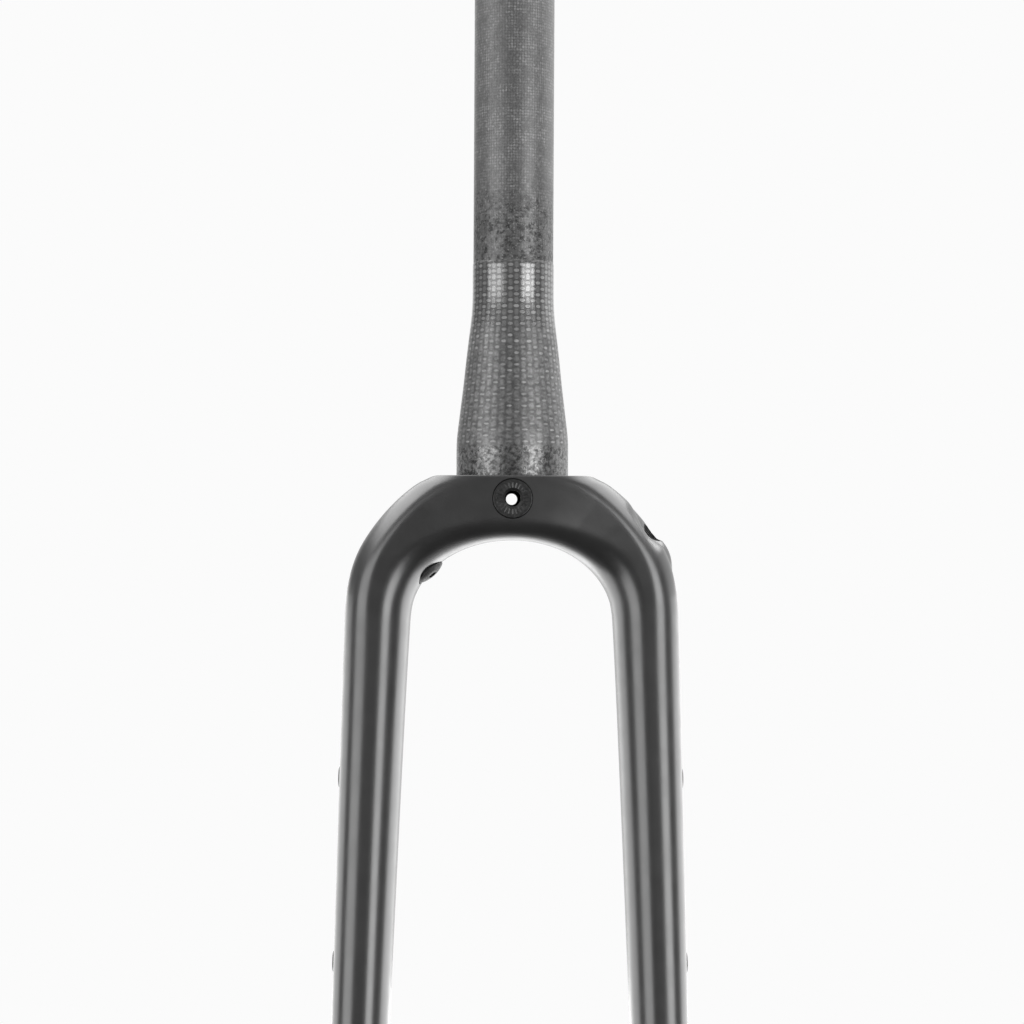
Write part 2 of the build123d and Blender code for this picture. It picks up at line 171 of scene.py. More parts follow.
# points of the arc that rounds a corner between its two neighbours
def cornerArc(before, corner, after, radius, least, step=inf):
    toBefore, toAfter = before - corner, after - corner
    room = 0.45 * min(norm(toBefore), norm(toAfter))
    toBefore, toAfter = unit(toBefore), unit(toAfter)
    half = acos(np.clip(toBefore @ toAfter, -1, 1)) / 2
    back = min(radius / tan(half), room)
    size = back * tan(half)
    middle = corner + unit(toBefore + toAfter) * size / sin(half)
    first = atan2(*(corner + toBefore * back - middle)[::-1])
    last = atan2(*(corner + toAfter * back - middle)[::-1])
    sweep = (last - first + pi) % (2 * pi) - pi
    count = max(least, int(abs(sweep) * size / step))
    angles = [first + sweep * i / count for i in range(count + 1)]
    return [middle + size * np.array([cos(a), sin(a)]) for a in angles]


# points between two ends, about a step apart
def runOf(start, end, step):
    start, end = np.array(start, float), np.array(end, float)
    count = max(1, int(norm(end - start) / step))
    return [start + (end - start) * i / count for i in range(1, count)]


# every corner of a closed half section rounded
def softened(points, radius):
    pts = [np.array(p, float) for p in points]
    return [p for i, corner in enumerate(pts)
            for p in cornerArc(pts[i - 1], corner, pts[(i + 1) % len(pts)], radius, 5)]


# an open line with its inner corners rounded and points a step apart
def filleted(points, radii, step):
    pts = [np.array(p, float) for p in points]
    out = [pts[0]]
    for before, corner, after, radius in zip(pts, pts[1:], pts[2:], radii):
        arc = cornerArc(before, corner, after, radius, 4, step)
        out += runOf(out[-1], arc[0], step) + arc
    return out + runOf(out[-1], pts[-1], step) + [pts[-1]]


# the arc over a dome, from its rim to the mouth of its hole, as points of the complex plane
def domeArc(flange, rim, mouth, dome, count=14, fullness=0.74):
    first, last = complex(flange, rim), complex(mouth, dome)
    crown = complex((flange + mouth) / 2, mix(rim, dome, fullness))
    w = (last - first) / (crown - first)
    middle = first - (first - crown) * (w - abs(w) ** 2) / (2j * w.imag)
    turns = np.linspace(phase(first - middle), phase(last - middle), count)
    return [(p.real, p.imag) for p in middle + abs(first - middle) * np.exp(1j * turns)]


# a half section of radius and height turned about a place's own axis; relief may move the rings
def turnedPiece(name, place, section, segments=64, relief=None, sharpAngle=38.0):
    angles = np.arange(segments) * 2 * pi / segments
    points, rings = [], []
    for radius, height in section:
        start = len(points)
        if radius < 1e-6:
            points.append((0.0, 0.0, height))
            rings.append([start] * segments)
            continue
        r, h = np.full(segments, float(radius)), np.full(segments, float(height))
        if relief:
            r, h = relief(r, h, angles)
        points.extend(zip(r * np.cos(angles), r * np.sin(angles), h))
        rings.append(list(range(start, start + segments)))
    faces = []
    for lower, upper in zip(rings, rings[1:] + rings[:1]):
        for i in range(segments):
            j = (i + 1) % segments
            corners = list(dict.fromkeys((lower[i], lower[j], upper[j], upper[i])))
            if len(corners) > 2:
                faces.append(corners)
    turn = np.array(place)
    points = np.array(points) @ turn[:3, :3].T + turn[:3, 3]
    return meshPiece(name, points, faces, sharpAngle)


# crown and legs: sections swept from the left tip over the crown to the right tip
forkShape = dict(
    crownRadius=59.1, crownDepth=56.0, crownOuterCorner=6.5, crownInnerCorner=8.5,
    shoulderBulge=0.6, shoulderAngle=67.0, shoulderSpread=11.0,
    archDrop=52.3, archHalfWidth=36.2, archRise=29.0, archBroad=1.2, archBroadAngle=58.0, archBroadSpread=16.0,
    axleDrop=395.0, axleRake=50.0, rakeDrop=15.0, rakePower=1.15, hubHalf=50.0, hubSeatDepth=0.8,
    dropoutWidth=14.3, tipRadius=13.5, tipShare=0.97, tipPinch=0.18,
    legDepth=39.0, legNose=0.11, legFlat=0.06, legPower=0.9,
    outerSquare=0.58, innerSquare=0.56, crease=0.5,      # how full the rounded corners are
    outerDeep=1.4, innerDeep=1.5, legOuterDeep=1.3, legInnerDeep=1.5, cornerLimit=0.85,  # how deep they run
    legLean=0.85,                                        # how far the legs' crest leans inwards
    legTurn=(88.0, 56.0), ridgeTurn=(22.0, 50.0), leanDrop=(230.0, 330.0),  # where these come and go
    topFillet=0.7, topBlend=1.2, topFall=0.6, topFallSpan=(-4.0, -0.4),     # the crown's flat top
    quarterPoints=32, legStep=2.6, arcStep=0.75, tipRows=14, joinRounds=40, joinRows=12, footShare=0.8,
)
fs = short(forkShape)
forward = np.array([0, -1.0, 0])
dropoutInner = fs.hubHalf - fs.hubSeatDepth
dropoutOuter = dropoutInner + fs.dropoutWidth


def legShare(drop):
    return max(drop - fs.archDrop, 0.0) / (fs.axleDrop - fs.archDrop)


def legInner(drop):
    return mix(fs.archHalfWidth, dropoutInner, legShare(drop) ** fs.legPower)


def legOuter(drop):
    return mix(fs.crownRadius, dropoutOuter, sin(pi / 2 * min(legShare(drop), 1.0)))


def legFore(drop):
    share = max(drop - fs.rakeDrop, 0.0) / (fs.axleDrop - fs.rakeDrop)
    return fs.axleRake * share ** fs.rakePower


def legHalfDepth(drop):
    return mix(fs.legDepth / 2, fs.tipRadius, min(legShare(drop), 1.0) ** fs.legPower)


def archRadius(angle):
    across = fs.archRise * sin(radians(angle))
    upward = fs.archHalfWidth * cos(radians(angle))
    return fs.archRise * fs.archHalfWidth / hypot(across, upward)


def shoulderRadius(angle):
    away = (angle - fs.shoulderAngle) / fs.shoulderSpread
    return fs.crownRadius + fs.shoulderBulge * exp(-away ** 2)


def legCorners(near, far):
    width = (far - near) / 2 * (1 - fs.legFlat)
    return width * (1 - fs.legNose), width * (1 + fs.legNose)


def crownSection(side, angle):
    turn = radians(angle)
    upright = max(cos(turn), 0.0)
    near, far = archRadius(angle), shoulderRadius(angle)
    outer, inner = legCorners(near, far)
    deep, ridge = smoothStep(*fs.legTurn, angle), smoothStep(*fs.ridgeTurn, angle)
    broad = fs.archBroad * exp(-((angle - fs.archBroadAngle) / fs.archBroadSpread) ** 2)
    return SimpleNamespace(
        middle=np.array([0, -legFore(fs.archDrop - (near + far) / 2 * upright), -fs.archDrop]),
        outward=np.array([side * sin(turn), 0, cos(turn)]), near=near, far=far,
        halfDepth=mix(fs.legDepth, fs.crownDepth, upright ** 1.5) / 2,
        outer=mix(outer, fs.crownOuterCorner, upright ** 0.8),
        inner=mix(inner, fs.crownInnerCorner, upright ** 1.6) + broad,
        top=softMin(fs.archDrop / max(upright, 1e-3), far, fs.topBlend),
        outerDeep=mix(fs.legOuterDeep, mix(1.0, fs.outerDeep, ridge), deep),
        innerDeep=mix(fs.legInnerDeep, fs.innerDeep, deep),
        square=mix(fs.outerSquare, fs.crease, deep), lean=fs.legLean * (1 - deep),
    )


def legSection(side, drop):
    below = max(drop - fs.axleDrop, 0.0)
    drop = min(drop, fs.axleDrop)
    near, far = legInner(drop), legOuter(drop)
    halfDepth = legHalfDepth(drop)
    if below > 0:
        pinch = (far - near) * fs.tipPinch * (below / fs.tipRadius) ** 3
        near, far = near + pinch, far - pinch
        halfDepth = sqrt(fs.tipRadius ** 2 - below ** 2)
    outer, inner = legCorners(near, far)
    fade = smoothStep(*fs.leanDrop, drop)
    return SimpleNamespace(
        middle=np.array([0, -legFore(drop), -drop - below]), outward=np.array([side, 0, 0]), near=near, far=far,
        halfDepth=halfDepth, outer=outer, inner=inner, top=far, square=fs.outerSquare,
        outerDeep=mix(fs.legOuterDeep, 1.0, fade), innerDeep=mix(fs.legInnerDeep, 1.0, fade),
        lean=fs.legLean * (1 - fade),
    )


def cornerDepth(corner, halfDepth):
    limit = fs.cornerLimit * halfDepth
    return corner * limit / (corner ** 4 + limit ** 4) ** 0.25


def crest(section, ahead):
    lead = (section.near + section.inner + section.far - section.outer) / 2
    return section.middle + section.outward * lead + forward * (ahead * section.halfDepth)


def straight(start, end, count=24):
    return start + (end - start) * np.linspace(0, 1, count)[:, None]


def rounded(start, box, end, square, count=120):
    t = np.linspace(0, 1, count)[:, None]
    c1 = start + (box - start) * square
    c2 = end + (box - end) * square
    return (1 - t) ** 3 * start + 3 * (1 - t) ** 2 * t * c1 + 3 * (1 - t) * t ** 2 * c2 + t ** 3 * end


# the crown's flat top cut into the outer quarter of a section, with a rounded corner
def flattened(line, top, radius):
    if line[0, 0] - top < 1e-4:
        return line
    tangent = np.gradient(line, axis=0)
    tangent /= norm(tangent, axis=1)[:, None]
    normal = np.stack([tangent[:, 1], -tangent[:, 0]], axis=1)
    inset = line - radius * normal
    order = np.arange(len(line))
    at = np.interp(-(top - radius), -inset[:, 0], order)
    middle = np.array([top - radius, np.interp(at, order, inset[:, 1])])
    bend = np.interp(at, order, np.arctan2(normal[:, 1], normal[:, 0]))
    arc = [middle + radius * np.array([cos(a), sin(a)]) for a in np.linspace(0, bend, 24)]
    flat = [np.array([top, middle[1] * s]) for s in np.linspace(0, 1, 40)[:-1]]
    return np.array(flat + arc + [p for i, p in enumerate(line) if i > at])


# points along a line, drawn together where it bends
def spread(line, count, bendWeight=5.0):
    keep = np.concatenate([[True], norm(np.diff(line, axis=0), axis=1) > 1e-6])
    line = line[keep]
    steps = np.diff(line, axis=0)
    length = norm(steps, axis=1)
    heading = np.unwrap(np.arctan2(steps[:, 1], steps[:, 0]))
    measure = np.concatenate([[0], np.cumsum(length + bendWeight * np.abs(np.gradient(heading)))])
    want = np.linspace(0, measure[-1], count + 1)
    return np.stack([np.interp(want, measure, line[:, 0]), np.interp(want, measure, line[:, 1])], axis=1)


def ringOf(section):
    near, far, half = section.near, section.far, section.halfDepth
    outer, inner = section.outer + section.lean, section.inner - section.lean
    front = np.array([(near + inner + far - outer) / 2, half])
    limit = fs.cornerLimit * half
    outerStart = np.array([far, half - min(cornerDepth(outer, half) * section.outerDeep, limit)])
    innerEnd = np.array([near, half - min(cornerDepth(inner, half) * section.innerDeep, limit)])
    outerFace, innerFace = np.array([far - outer, half]), np.array([near + inner, half])
    upper = np.concatenate([
        straight(np.array([far, 0.0]), outerStart),
        rounded(outerStart, np.array([far, half]), outerFace, section.square)[1:],
        straight(outerFace, front)[1:],
    ])
    lower = np.concatenate([
        straight(front, innerFace),
        rounded(innerFace, np.array([near, half]), innerEnd, fs.innerSquare)[1:],
        straight(innerEnd, np.array([near, 0.0]))[1:],
    ])
    upper = spread(flattened(upper, section.top, fs.topFillet), fs.quarterPoints)
    lower = spread(lower, fs.quarterPoints)
    flip = np.array([1, -1])
    ring = np.concatenate([upper[:-1], lower[:-1], (lower * flip)[::-1][:-1], (upper * flip)[::-1][:-1]])
    return section.middle + ring[:, :1] * section.outward + ring[:, 1:] * forward


def sweepRows():
    tip = np.linspace(asin(fs.tipShare), 0, fs.tipRows)
    legLength = fs.axleDrop - fs.archDrop
    legRows = int(legLength / fs.legStep)
    drops = [fs.axleDrop + fs.tipRadius * sin(a) for a in tip]
    drops += [fs.axleDrop - legLength * i / legRows for i in range(1, legRows)]
    turns = np.arange(90.0, -90.0 - 1e-6, -fs.arcStep)
    rows = [legSection(1, d) for d in drops]
    rows += [crownSection(1 if a >= 0 else -1, abs(a)) for a in turns]
    rows += [legSection(-1, d) for d in drops[::-1]]
    return rows


def sweptBody():
    rows = sweepRows()
    rings = [ringOf(section) for section in rows]
    n = len(rings[0])
    # rings near the joins of crown and legs evened out
    onCrown = [abs(section.outward[2]) > 1e-6 for section in rows]
    joins = [k for k in range(1, len(rows)) if onCrown[k] != onCrown[k - 1]]
    for _ in range(fs.joinRounds):
        for join in joins:
            for k in range(join - fs.joinRows, join + fs.joinRows):
                before, after = rings[k - 1], rings[k + 1]
                gap = norm(rings[k] - before, axis=1)
                part = (gap / (gap + norm(after - rings[k], axis=1)))[:, None]
                rings[k] = mix(rings[k], mix(before, after, part), 0.5)
    points = np.concatenate(rings)
    faces = ringFaces(len(rings), n)
    # flat feet of the dropouts, drawn in by one ring
    for row in (0, len(rings) - 1):
        middle = rings[row].mean(axis=0)
        start = len(points)
        points = np.concatenate([points, middle + (rings[row] - middle) * fs.footShare, middle[None, :]])
        for i in range(n):
            j = (i + 1) % n
            faces += [(row * n + i, row * n + j, start + j, start + i), (start + i, start + j, start + n)]
    return points, faces


bodyPoints, bodyFaces = sweptBody()
print("crown and legs swept,", len(bodyFaces), "faces")

# hose inlet, the hood below it and the lip in front of it
inletShape = dict(
    angle=57.6, lift=11.0, foreTilt=10.0, fore=3.0, radius=4.55, depth=9.0, step=6.6, sunk=0.2,
    hoseRadius=2.6, hoseRoom=0.8,
    hoodRadius=8.2, hoodLength=26.0, hoodDrop=8.6, hoodProud=1.7, hoodBlend=1.2, hoodLean=4.0,
    hoodRounds=12, hoodPace=0.7, hoodLimit=6.0,
    lipDepth=1.9, lipSlope=0.06, lipFrom=(-15.0, -2.0), lipTo=(-1.0, 7.2), lipAhead=(-0.5, 4.2),
    lipRise=(-4.2, -0.6), lipReach=30.0,
)
inlet = short(inletShape)
inletSection = crownSection(1, inlet.angle)
inletTurn = radians(inlet.angle - inlet.lift)
inletTilt = radians(inlet.foreTilt)
inletAxis = np.array([cos(inletTilt) * sin(inletTurn), -sin(inletTilt), cos(inletTilt) * cos(inletTurn)])
inletFace = inletSection.middle + inletSection.outward * (inletSection.far - inlet.sunk) + forward * inlet.fore
inletPlace = placeAt(inletFace, inletAxis)
hoodTurn = inlet.angle + degrees(inlet.hoodDrop / fs.crownRadius)
hoodOut = np.array([sin(radians(hoodTurn)), 0, cos(radians(hoodTurn))])
hoodSlope = radians(hoodTurn + inlet.hoodLean)
hoodAlong = np.array([cos(hoodSlope), 0, -sin(hoodSlope)])
hoodMiddle = (inletSection.middle + forward * inlet.fore
              + hoodOut * (shoulderRadius(hoodTurn) + inlet.hoodProud - inlet.hoodRadius))
hoodBow = ((inlet.hoodLength / 2) ** 2 + inlet.hoodRadius ** 2) / (2 * inlet.hoodRadius)


# raise the shoulder over the hood, a spindle laid along it, with a soft seam
def raiseHood(points, normals):
    near = norm(points - hoodMiddle, axis=1) < inlet.hoodLength
    spots, ways = points[near], normals[near]
    lift = np.zeros(len(spots))
    for _ in range(inlet.hoodRounds):
        away = spots + ways * lift[:, None] - hoodMiddle
        along = away @ hoodAlong
        beside = norm(away - along[:, None] * hoodAlong, axis=1)
        gap = np.hypot(beside + hoodBow - inlet.hoodRadius, along) - hoodBow
        lift = np.clip(lift - inlet.hoodPace * softMin(lift, gap, inlet.hoodBlend), 0, inlet.hoodLimit)
    points = points.copy()
    points[near] = spots + ways * lift[:, None]
    return points


# the lip in front of the port drawn down, so that the port looks out to the front
def lowerLip(points):
    away = points - inletFace
    ahead, down = away @ forward, away @ np.cross(inletAxis, forward)
    middle, outward = inletSection.middle, inletSection.outward
    rise = np.hypot(points[:, 0] - middle[0], points[:, 2] - middle[2]) - inletSection.far
    along = smoothStep(*inlet.lipFrom, down) * (1 - smoothStep(*inlet.lipTo, down))
    depth = inlet.lipDepth * smoothStep(*inlet.lipAhead, ahead) + inlet.lipSlope * np.maximum(ahead, 0)
    near = norm(away, axis=1) < inlet.lipReach
    share = along * smoothStep(*inlet.lipRise, rise) * near
    return points - (depth * share)[:, None] * outward


def normalsOf(points, faces):
    mesh = newMesh("probe", points.tolist(), faces)
    turnFacesOut(mesh)
    normals = vertexValues(mesh, "normal")
    bpy.data.meshes.remove(mesh)
    return normals


bodyPoints = lowerLip(raiseHood(bodyPoints, normalsOf(bodyPoints, bodyFaces)))
bodyPoints[:, 2] -= fs.topFall * smoothStep(*fs.topFallSpan, bodyPoints[:, 2])
print("hood raised")

boxMargin = 0.01
bodyPoints[:, 1] = np.clip(bodyPoints[:, 1], cadBox[0].y / mm + boxMargin, cadBox[1].y / mm - boxMargin)
body = meshPiece("crownAndLegs", bodyPoints, bodyFaces)
print("crown and legs meshed")

# places of the fittings, from the same sections
fittings = dict(
    bondGap=0.1, draft=0.012, reach=8.0, throughSegments=128, pocketSegments=96, shadingReach=32.0,
    holeDrop=8.6, ferruleRadius=6.8, ferruleHead=3.0, ferruleLength=9.0, ferruleShank=4.4, ferruleGap=0.2,
    ferruleSunk=0.25, rearFlange=5.5, rearThick=1.2, rearShank=4.0, shankEase=0.3,
    spigotRadius=18.0, spigotDepth=17.0,
    plugAngle=58.8, plugTurn=17.0, plugFore=8.8, plugTilt=14.0, plugRadius=5.5, plugStem=3.6, plugSunk=0.5,
    plugLength=5.0, lowPlugAbove=52.0, lowPlugRadius=4.0, lowPlugStem=2.8,
    exitAbove=26.0, exitFlange=5.0, exitShank=3.9,
    padPitch=70.0, padLower=25.0, padLength=90.0, padWidth=12.4, padEdge=1.2, padProud=1.6, padRoot=11.0,
    caliperFlange=5.0, caliperThick=1.0, caliperShank=4.0, caliperLength=9.0,
    cageFirst=107.5, cagePitch=64.0, mudguardAbove=31.0,
    insertSunk=0.4, insertFlange=4.6, insertShank=3.5, insertLength=8.0,
    hubSeatRadius=10.2, bushRadius=8.5, bushFlange=10.0, bushThick=1.3,
)
ft = short(fittings)


# distance of the arch's face from the arch's middle, a given way ahead
def archFace(section, ahead):
    near, half, inner = section.near, section.halfDepth, section.inner
    end = np.array([near, half - cornerDepth(inner, half)])
    line = rounded(end, np.array([near, half]), np.array([near + inner, half]), fs.innerSquare, 400)
    return np.interp(ahead, line[:, 1], line[:, 0])


# a spot on the back of a leg, where its rear crest runs
def legBack(side, drop):
    return crest(legSection(side, drop), -1)


faceY = fs.crownDepth / 2 - ft.ferruleSunk
frontPlace = placeAt((0, -faceY, -ft.holeDrop), (0, -1, 0))
rearPlace = placeAt((0, faceY, -ft.holeDrop), (0, 1, 0))
plugSection = crownSection(-1, ft.plugAngle)
plugTilt = radians(ft.plugTilt)
plugTurn = radians(ft.plugAngle - ft.plugTurn)
plugAxis = np.array([sin(plugTurn), 0, -cos(plugTurn)]) * cos(plugTilt) + forward * sin(plugTilt)
plugFloor = plugSection.middle + plugSection.outward * archFace(plugSection, ft.plugFore) + forward * ft.plugFore
plugPlace = placeAt(plugFloor - plugAxis * ft.plugSunk, plugAxis)
padBottom = fs.axleDrop - ft.padLower
padTop = padBottom - ft.padPitch
padHigh, padLow = legBack(1, padTop), legBack(1, padBottom)
padAlong = unit(padHigh - padLow)
padNormal = unit(np.cross(padAlong, [1, 0, 0]))
padAcross = unit(np.cross(padNormal, padAlong))
padMiddle = (padHigh + padLow) / 2 + padNormal * ft.padProud
backAxis = np.array([0, padNormal[1], padNormal[2]])
backSunk = backAxis * ft.plugSunk
exitPlace = placeAt(legBack(1, padTop - ft.exitAbove) - backSunk, backAxis)
lowPlugPlace = placeAt(legBack(-1, fs.axleDrop - ft.lowPlugAbove) - backSunk, backAxis)
caliperPlaces = {
    "caliper_insert_upper": placeAt(padMiddle + padAlong * ft.padPitch / 2, padNormal),
    "caliper_insert_lower": placeAt(padMiddle - padAlong * ft.padPitch / 2, padNormal),
}
cageLean = (legFore(ft.cageFirst + 2 * ft.cagePitch) - legFore(ft.cageFirst)) / (2 * ft.cagePitch)
cageStep = ft.cagePitch / hypot(1, cageLean)
outerDrops = {
    "cage_insert_upper": ft.cageFirst, "cage_insert_middle": ft.cageFirst + cageStep,
    "cage_insert_lower": ft.cageFirst + 2 * cageStep, "mudguard_insert": fs.axleDrop - ft.mudguardAbove,
}
bushLength = dropoutOuter - fs.hubHalf
outerPlaces, axlePlaces = {}, {}
for side, hand in ((1, "left"), (-1, "right")):
    for name, drop in outerDrops.items():
        spot = (side * (legOuter(drop) - ft.insertSunk), -legFore(drop), -drop)
        outerPlaces[hand + "_" + name] = placeAt(spot, (side, 0, 0))
    axlePlaces[hand] = placeAt((side * fs.hubHalf, -fs.axleRake, -fs.axleDrop), (side, 0, 0))


# flat pad for the brake caliper, a slot shape with rounded edges
def caliperPad(bends=32):
    r, edge = ft.padWidth / 2, ft.padEdge
    half = ft.padLength / 2 - r
    rows = [(r, -ft.padRoot), (r, -edge)]
    rows += [(r - edge + edge * cos(a), -edge + edge * sin(a)) for a in np.linspace(0, pi / 2, 8)[1:]]
    rim = [(end, start + pi * i / bends)
           for end, start in ((-half, pi / 2), (half, -pi / 2)) for i in range(bends + 1)]
    points = [padMiddle + padAlong * (end + radius * cos(a)) + padAcross * (radius * sin(a))
              + padNormal * height for radius, height in rows for end, a in rim]
    n = len(rim)
    faces = ringFaces(len(rows), n)
    faces += [tuple(range(n))[::-1], tuple(range((len(rows) - 1) * n, len(rows) * n))]
    return meshPiece("caliperPad", points, faces)


def dropPiece(piece):
    mesh = piece.data
    bpy.data.objects.remove(piece)
    if mesh.users == 0:
        bpy.data.meshes.remove(mesh)


def joined(cutters):
    bm = bmesh.new()
    for cutter in cutters:
        bm.from_mesh(cutter.data)
        dropPiece(cutter)
    mesh = bpy.data.meshes.new("cutters")
    bm.to_mesh(mesh)
    bm.free()
    return linked("cutters", mesh)


def combine(piece, other, operation):
    tool = piece.modifiers.new("combine", "BOOLEAN")
    tool.operation = operation
    tool.solver = "EXACT"
    tool.object = other
    bpy.context.view_layer.update()
    result = bpy.data.meshes.new_from_object(piece.evaluated_get(bpy.context.evaluated_depsgraph_get()))
    piece.modifiers.clear()
    old = piece.data
    piece.data = result
    bpy.data.meshes.remove(old)
    dropPiece(other)


# smooth shading of the uncut surface carried over to the corners left by the cuts
def carryShading(piece, before, spots, radius, farthest=2e-5, likeness=0.9):
    tree = BVHTree.FromPolygons([v.co for v in before.vertices], [p.vertices[:] for p in before.polygons])
    mesh = piece.data
    shadeSmooth(mesh)
    co = vertexValues(mesh, "co")
    close = np.zeros(len(co), bool)
    for spot in spots:
        close |= norm(co - np.array(spot) * mm, axis=1) < radius * mm
    wanted = [(0.0, 0.0, 0.0)] * len(mesh.loops)
    for face in mesh.polygons:
        for corner in face.loop_indices:
            v = mesh.loops[corner].vertex_index
            if not close[v]:
                continue
            spot, way, index, gap = tree.find_nearest(mesh.vertices[v].co)
            if gap > farthest or way.dot(face.normal) < likeness:
                continue
            ring = before.polygons[index].vertices
            shares = poly_3d_calc([before.vertices[i].co for i in ring], spot)
            normal = Vector((0, 0, 0))
            for share, i in zip(shares, ring):
                normal += before.vertices[i].normal * share
            wanted[corner] = tuple(normal.normalized())
    mesh.normals_split_custom_set(wanted)


combine(body, caliperPad(), "UNION")
uncut = body.data.copy()
bond, reach, draft = ft.bondGap, ft.reach, ft.draft


# pocket for a flanged piece, a little wider than the piece and towards its mouth
def pocketLine(flange, shank, length, floor=0.0):
    mouth, hole, low, high = flange + bond, shank + bond, -length - bond, floor + reach
    return [(0, low), (hole, low), (hole + draft * (floor - low), floor), (mouth, floor),
            (mouth + draft * reach, high), (0, high)]


socket, hose, inletFloor = ft.spigotRadius + bond, inlet.hoseRadius + inlet.hoseRoom, -inlet.depth - reach / 2
seat, bore, lip = ft.hubSeatRadius, ft.bushRadius + bond, ft.bushFlange + bond
bushStep, bushEnd = bushLength - ft.bushThick, bushLength + reach
upright = placeAt((0, 0, 0), (0, 0, 1))
cutLines = [
    (upright, [(0, -ft.spigotDepth), (socket, -ft.spigotDepth), (socket, reach), (0, reach)]),
    (inletPlace, [(0, inletFloor), (hose, inletFloor), (hose, -inlet.step), (inlet.radius, -inlet.step),
                  (inlet.radius, reach), (0, reach)]),
    (plugPlace, pocketLine(ft.plugRadius, ft.plugStem, ft.plugLength)),
    (exitPlace, pocketLine(ft.exitFlange, ft.exitShank, ft.plugLength + reach / 2 - bond)),
    (lowPlugPlace, pocketLine(ft.lowPlugRadius, ft.lowPlugStem, ft.plugLength)),
]
caliperPocket = pocketLine(ft.caliperFlange, ft.caliperShank, ft.caliperLength, -ft.caliperThick)
insertPocket = pocketLine(ft.insertFlange, ft.insertShank, ft.insertLength)
axleHole = [(0, -reach), (seat, -reach), (seat, 0), (bore, 0), (bore, bushStep), (lip, bushStep), (lip, bushEnd),
            (0, bushEnd)]
for places, line in ((caliperPlaces, caliperPocket), (outerPlaces, insertPocket), (axlePlaces, axleHole)):
    cutLines += [(place, line) for place in places.values()]

# the crown's through hole is one cutter, from the rear insert's flange to the ferrule's head
span, halfway, ease = 2 * faceY, -fs.crownDepth / 2, bond + ft.shankEase
rearMouth, rearFloor = ft.rearFlange + bond, ft.rearThick - span
headMouth, headFloor = ft.ferruleRadius + ft.ferruleGap, -ft.ferruleHead
throughLine = [
    (0, -span - reach), (rearMouth + draft * reach, -span - reach), (rearMouth, rearFloor),
    (ft.rearShank + ease, rearFloor), (ft.rearShank + bond, halfway), (ft.ferruleShank + bond, halfway),
    (ft.ferruleShank + ease, headFloor), (headMouth, headFloor), (headMouth + draft * reach, reach + headFloor),
    (0, reach + headFloor),
]
combine(body, turnedPiece("cutter", frontPlace, throughLine, ft.throughSegments), "DIFFERENCE")
pockets = joined([turnedPiece("cutter", place, line, ft.pocketSegments) for place, line in cutLines])
combine(body, pockets, "DIFFERENCE")
cutSpots = [place.translation for place, line in cutLines] + [frontPlace.translation, rearPlace.translation]
cutSpots += [padMiddle + padAlong * s for s in np.linspace(-0.5, 0.5, 7) * ft.padLength]
carryShading(body, uncut, cutSpots, ft.shadingReach)
bpy.data.meshes.remove(uncut)
print("pockets and ports cut,", len(body.data.polygons), "faces")


# thread in a hole, wound as a helix of rounded grooves
def threadRelief(bore, pitch, depth, low, high):
    def relief(r, h, angles):
        if abs(r[0] - bore) > 1e-4 or not low < h[0] < high:
            return r, h
        wave = np.abs(((h / pitch - angles / (2 * pi)) % 1.0) * 2 - 1)
        fade = smoothStep(low, low + pitch / 2, h[0]) * (1 - smoothStep(high - pitch / 2, high, h[0]))
        return r + depth * smoothStep(0.1, 0.9, wave) * fade, h
    return relief


insertThread = dict(tap=2.1, pitch=0.8, threadDepth=0.38, rowStep=0.12, threadFrom=0.2, threadTo=0.1, segments=48)


def tappedPiece(name, place, d, line, length, top):
    relief = threadRelief(d.tap, d.pitch, d.threadDepth, d.threadFrom - length, top - d.threadTo)
    return turnedPiece(name, place, line, d.segments, relief)


# domed inserts in the legs' outer faces
domedInsert = dict(insertThread, rim=0.4, dome=1.1, mouth=2.5, chamfer=0.4, edge=0.12)


def domedLine(d, hole, length, shank, flange):
    top = (hole, d.dome - d.chamfer)
    line = domeArc(flange - d.edge, d.rim, d.mouth, d.dome) + [top] + runOf(top, (hole, -length), d.rowStep)
    return line + [(hole, -length), (shank, -length), (shank, 0), (flange, 0), (flange, d.rim - d.edge)]


insertPieces = {}
d = short(domedInsert)
line = domedLine(d, d.tap, ft.insertLength, ft.insertShank, ft.insertFlange)
for nodeName, place in outerPlaces.items():
    insertPieces[nodeName] = tappedPiece("insert_" + nodeName, place, d, line, ft.insertLength, d.dome - d.chamfer)
print("domed inserts turned")

# flush inserts in the caliper pad and at the back of the crown
flushInsert = dict(insertThread, chamfer=0.5, caliperEdge=0.15, rearEdge=0.3)


def flushPiece(name, place, d, flange, thick, shank, length, edge):
    line = [(flange, -thick), (flange, -edge), (flange - edge, 0), (d.tap + d.chamfer, 0), (d.tap, -d.chamfer)]
    line += runOf(line[-1], (d.tap, -length), d.rowStep)
    line += [(d.tap, -length), (shank, -length), (shank, -thick)]
    return tappedPiece(name, place, d, line, length, -d.chamfer)


d = short(flushInsert)
caliperSizes = ft.caliperFlange, ft.caliperThick, ft.caliperShank, ft.caliperLength, d.caliperEdge
rearSizes = ft.rearFlange, ft.rearThick, ft.rearShank, ft.ferruleLength, d.rearEdge
for nodeName, place in caliperPlaces.items():
    insertPieces[nodeName] = flushPiece("insert_" + nodeName, place, d, *caliperSizes)
insertPieces["crown_rear_insert"] = flushPiece("rearInsert", rearPlace, d, *rearSizes)
print("flush inserts turned")

